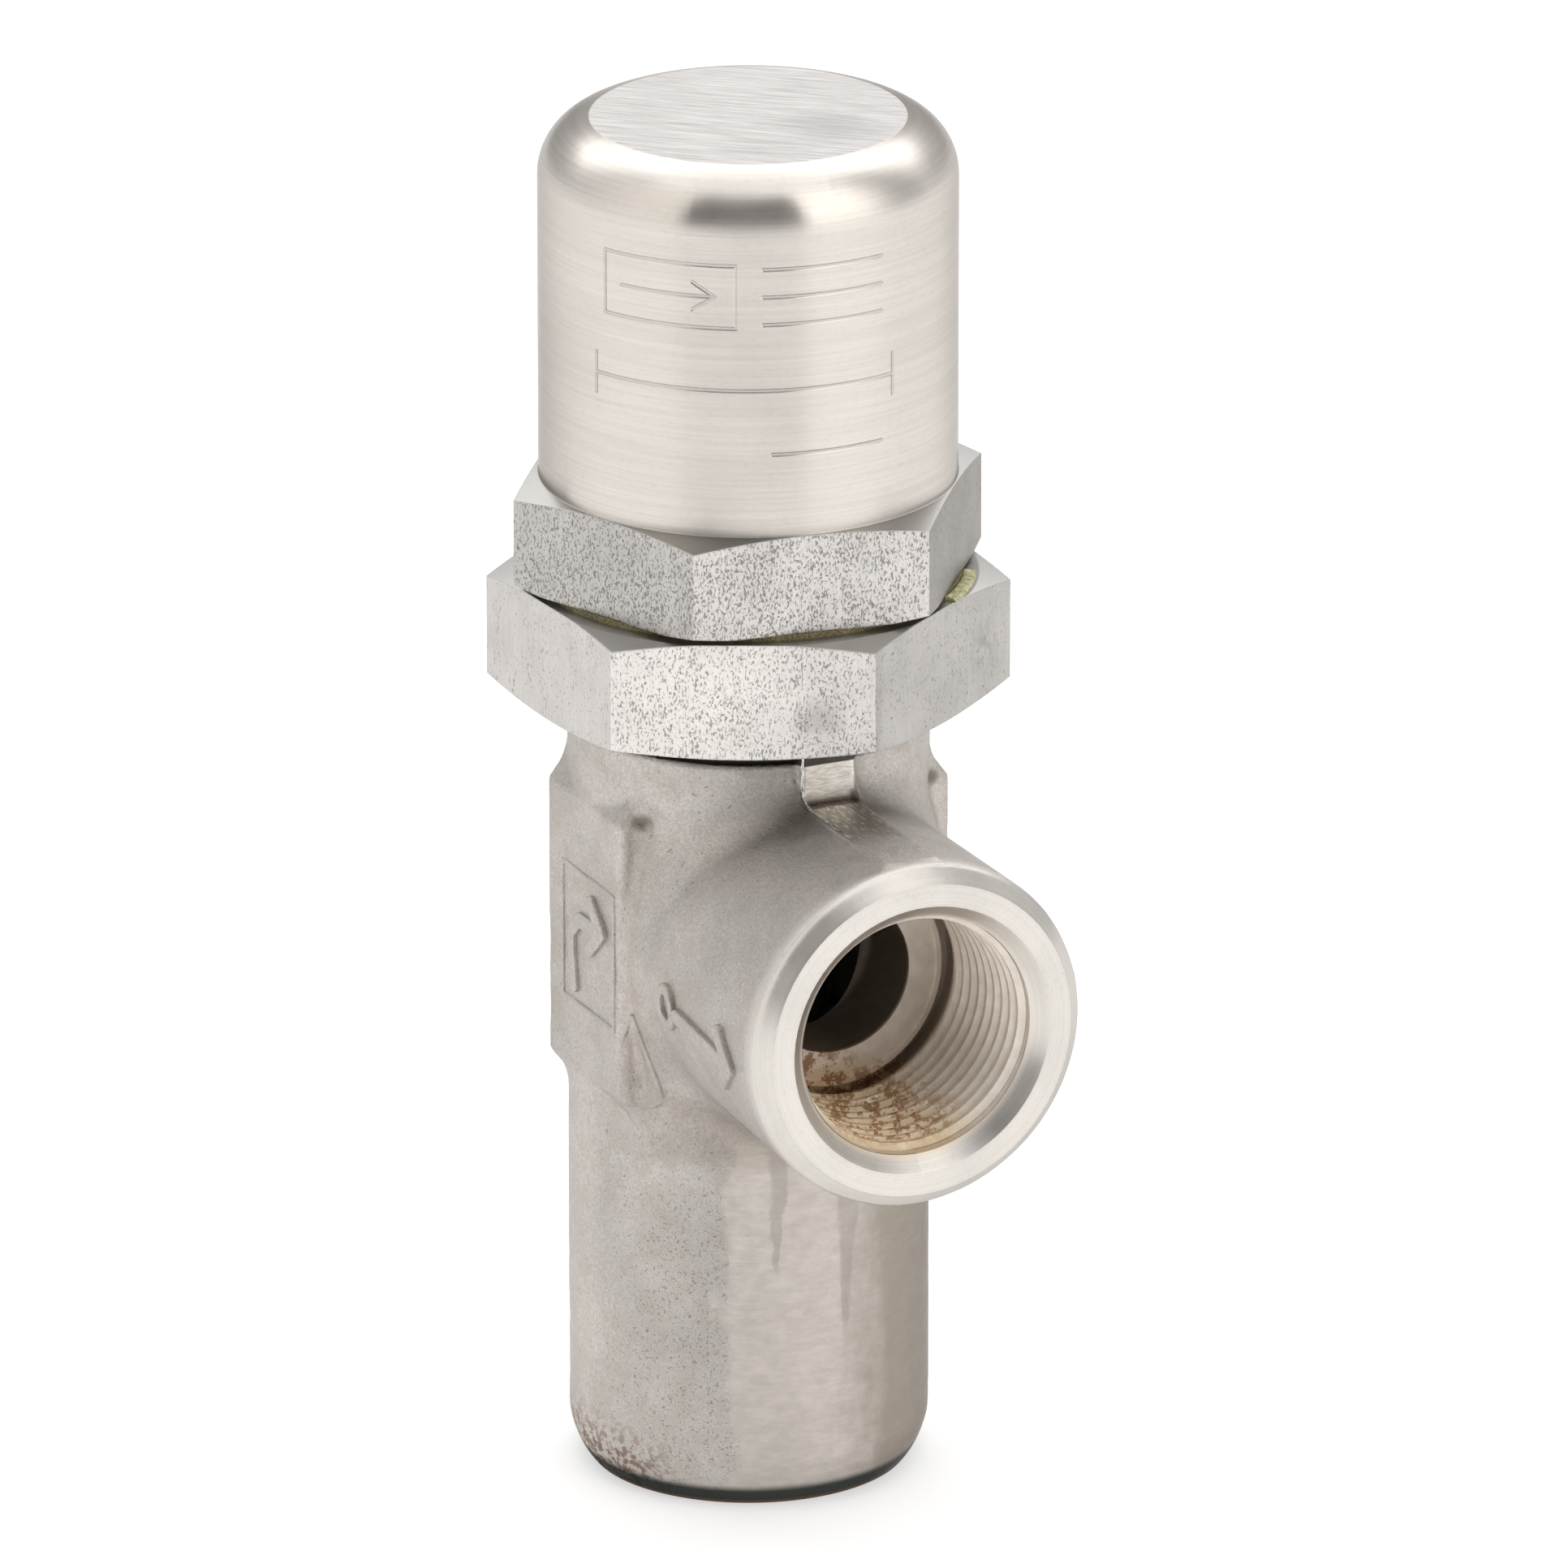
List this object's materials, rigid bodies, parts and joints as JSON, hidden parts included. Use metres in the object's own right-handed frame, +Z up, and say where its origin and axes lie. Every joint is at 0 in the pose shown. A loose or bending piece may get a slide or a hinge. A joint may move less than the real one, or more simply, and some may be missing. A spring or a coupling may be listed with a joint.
{
  "type": "pressure relief valve",
  "caption": "Stainless steel angle relief valve: forged body with a bottom inlet and a side outlet, both threaded, hexagonal bonnet, and a domed screw-on cap over its spring adjuster.",
  "frame": {"origin": "centre of the inlet port's mouth, on the bottom face", "axes": "+Z up the valve's axis to the cap, +X along the outlet port and out of its mouth"},
  "size_m": [0.0703, 0.0508, 0.1489],
  "materials": {
    "forged_steel": "blasted and part-polished forged stainless steel",
    "bar_steel": "turned stainless bar with as-drawn, pitted hexagon flats",
    "machined_steel": "turned stainless steel",
    "spring_steel": "drawn wire",
    "bearing_bronze": "turned bronze",
    "elastomer": "moulded elastomer",
    "soft_seat": "turned fluoropolymer",
    "gasket_fibre": "oiled fibre gasket",
    "sealing_lacquer": "dried sealing lacquer"
  },
  "bodies": {
    "valve_body": {"body": "forged_steel", "seat_nozzle": "machined_steel", "nozzle_o_ring": "elastomer", "stem_guide_plate": "machined_steel", "guide_bush": "bearing_bronze", "guide_snap_ring": "spring_steel", "bonnet": "bar_steel", "bonnet_gasket": "gasket_fibre", "sealing_compound": "sealing_lacquer", "set_spring": "spring_steel"},
    "poppet_group": {"poppet": "machined_steel", "soft_seat_disc": "soft_seat", "seat_retaining_screw": "machined_steel", "poppet_stem": "machined_steel", "poppet_pin": "machined_steel", "stem_circlip": "spring_steel", "lower_spring_button": "machined_steel"},
    "adjuster_carriage": {"upper_spring_button": "machined_steel", "thrust_ball": "machined_steel"},
    "adjusting_screw": {"adjusting_screw": "machined_steel"},
    "nut_carriage": {"lock_washer": "machined_steel"},
    "lock_nut": {"lock_nut": "machined_steel"},
    "cap_carriage": {"cap_gasket": "gasket_fibre"},
    "cap": {"cap": "bar_steel"}
  },
  "joints": [
    {"name": "poppet_lift", "type": "slide", "parent": "valve_body", "child": "poppet_group", "axis": [0, 0, 1], "range_m": [0, 0.0035], "stiffness_N_per_m": 8000, "springref_m": -0.006, "deforming": ["set_spring"]},
    {"name": "adjuster_travel", "type": "slide", "parent": "valve_body", "child": "adjuster_carriage", "axis": [0, 0, 1], "range_m": [-0.00301, 0.00301], "deforming": ["set_spring"]},
    {"name": "adjuster_turn", "type": "hinge", "parent": "adjuster_carriage", "child": "adjusting_screw", "pos_m": [0, 0, 0.1295], "axis": [0, 0, 1], "range_deg": [-720, 720]},
    {"name": "lock_nut_travel", "type": "slide", "parent": "valve_body", "child": "nut_carriage", "axis": [0, 0, 1], "range_m": [0, 0.00301]},
    {"name": "lock_nut_turn", "type": "hinge", "parent": "nut_carriage", "child": "lock_nut", "pos_m": [0, 0, 0.131], "axis": [0, 0, 1], "range_deg": [0, 720]},
    {"name": "cap_travel", "type": "slide", "parent": "valve_body", "child": "cap_carriage", "axis": [0, 0, 1], "range_m": [0, 0.00901]},
    {"name": "cap_turn", "type": "hinge", "parent": "cap_carriage", "child": "cap", "pos_m": [0, 0, 0.105], "axis": [0, 0, 1], "range_deg": [0, 2160]}
  ],
  "couplings": [
    {"joint": "adjuster_travel", "follows": "adjuster_turn", "m_per_rad": 0.00023873},
    {"joint": "lock_nut_travel", "follows": "lock_nut_turn", "m_per_rad": 0.00023873},
    {"joint": "cap_travel", "follows": "cap_turn", "m_per_rad": 0.00023873}
  ]
}
